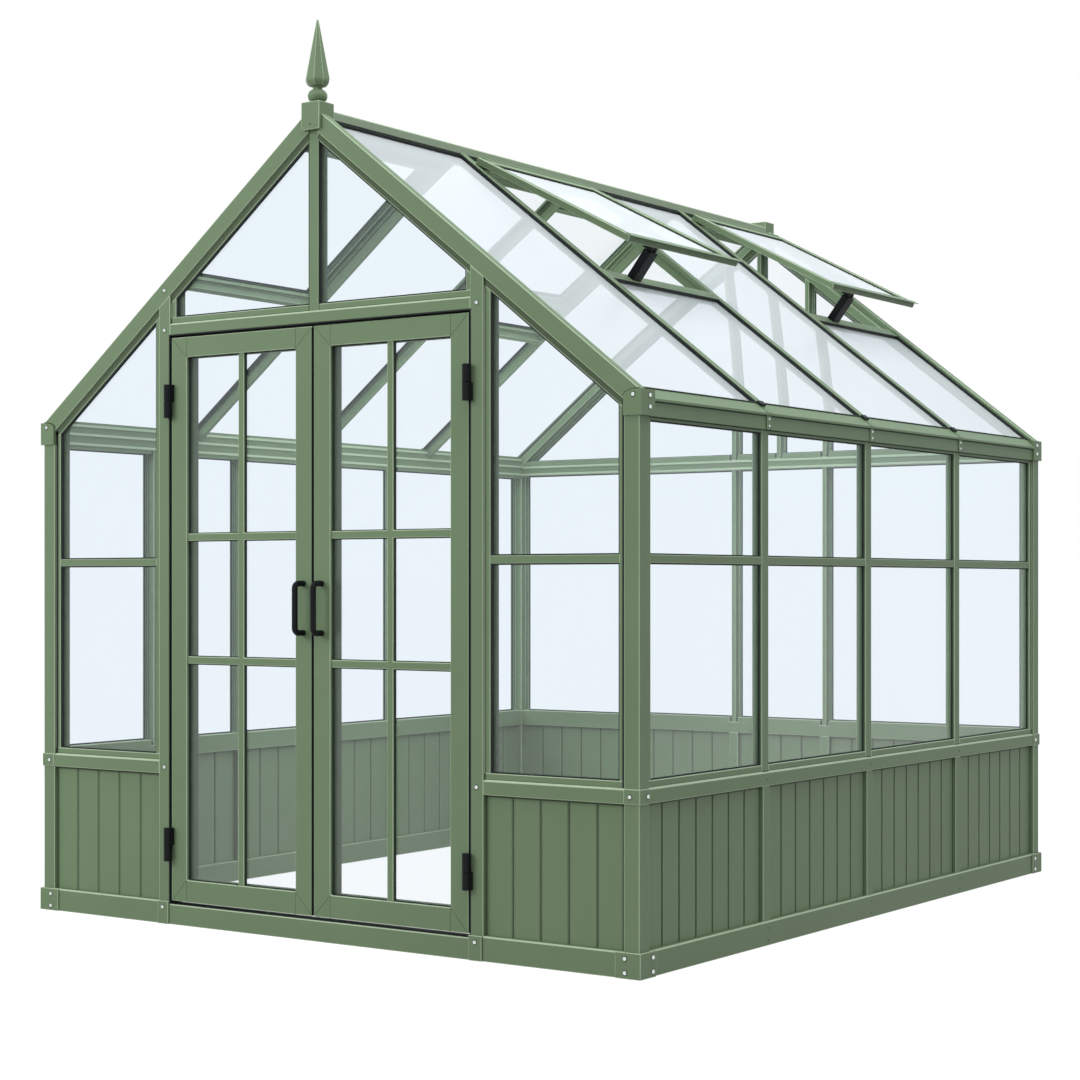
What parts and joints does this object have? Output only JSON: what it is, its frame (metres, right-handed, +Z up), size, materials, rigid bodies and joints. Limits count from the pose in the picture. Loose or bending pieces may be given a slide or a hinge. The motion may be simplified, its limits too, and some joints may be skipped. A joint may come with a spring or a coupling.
{
  "type": "greenhouse",
  "caption": "Gabled aluminium greenhouse with glazed walls over boarded panels, hinged double doors, roof vents and a ridge finial.",
  "frame": {"origin": "centre of the footprint on the ground", "axes": "+Z up, +Y along the ridge from the door gable to the back gable, +X to the right of a person facing the doors"},
  "size_m": [2.602, 3.155, 3.0799],
  "materials": {
    "sage_paint": "satin sage-green powder coat on aluminium",
    "clear_glass": "clear float glass",
    "black_fittings": "satin black"
  },
  "bodies": {
    "frame": {"front_base_rails": "sage_paint", "side_base_rails": "sage_paint", "back_base_rail": "sage_paint", "base_brackets": "sage_paint", "corner_posts": "sage_paint", "door_posts": "sage_paint", "front_cill_rails": "sage_paint", "side_cill_rails": "sage_paint", "back_cill_rail": "sage_paint", "cill_brackets": "sage_paint", "front_panels": "sage_paint", "left_panels": "sage_paint", "right_panels": "sage_paint", "back_panels": "sage_paint", "panel_studs": "sage_paint", "left_mullions": "sage_paint", "right_mullions": "sage_paint", "back_mullions": "sage_paint", "glazing_bars": "sage_paint", "eaves_beams": "sage_paint", "eaves_brackets": "sage_paint", "eaves_clips": "sage_paint", "front_rafters": "sage_paint", "back_rafters": "sage_paint", "left_roof_bars": "sage_paint", "right_roof_bars": "sage_paint", "ridge_beam": "sage_paint", "apex_blocks": "sage_paint", "finial": "sage_paint", "door_header": "sage_paint", "front_king_post": "sage_paint", "back_tie_rail": "sage_paint", "back_gable_bars": "sage_paint", "front_glass": "clear_glass", "left_glass": "clear_glass", "right_glass": "clear_glass", "back_glass": "clear_glass", "left_roof_glass": "clear_glass", "right_roof_glass": "clear_glass", "vent_sills": "sage_paint", "vent_frames": "sage_paint", "vent_glass": "clear_glass", "vent_openers": "black_fittings", "door_hinge_pins": "black_fittings"},
    "left_door": {"left_door_frame": "sage_paint", "left_door_glass": "clear_glass", "left_door_bars": "sage_paint", "left_door_handle": "black_fittings", "left_door_hinges": "black_fittings"},
    "right_door": {"right_door_frame": "sage_paint", "right_door_glass": "clear_glass", "right_door_bars": "sage_paint", "right_door_handle": "black_fittings", "right_door_hinges": "black_fittings"}
  },
  "joints": [
    {"name": "left_door_hinge", "type": "hinge", "parent": "frame", "child": "left_door", "pos_m": [-0.6515, -1.56, 1.055], "axis": [0, 0, -1], "range_deg": [0, 150]},
    {"name": "right_door_hinge", "type": "hinge", "parent": "frame", "child": "right_door", "pos_m": [0.6515, -1.56, 1.055], "axis": [0, 0, 1], "range_deg": [0, 150]}
  ]
}
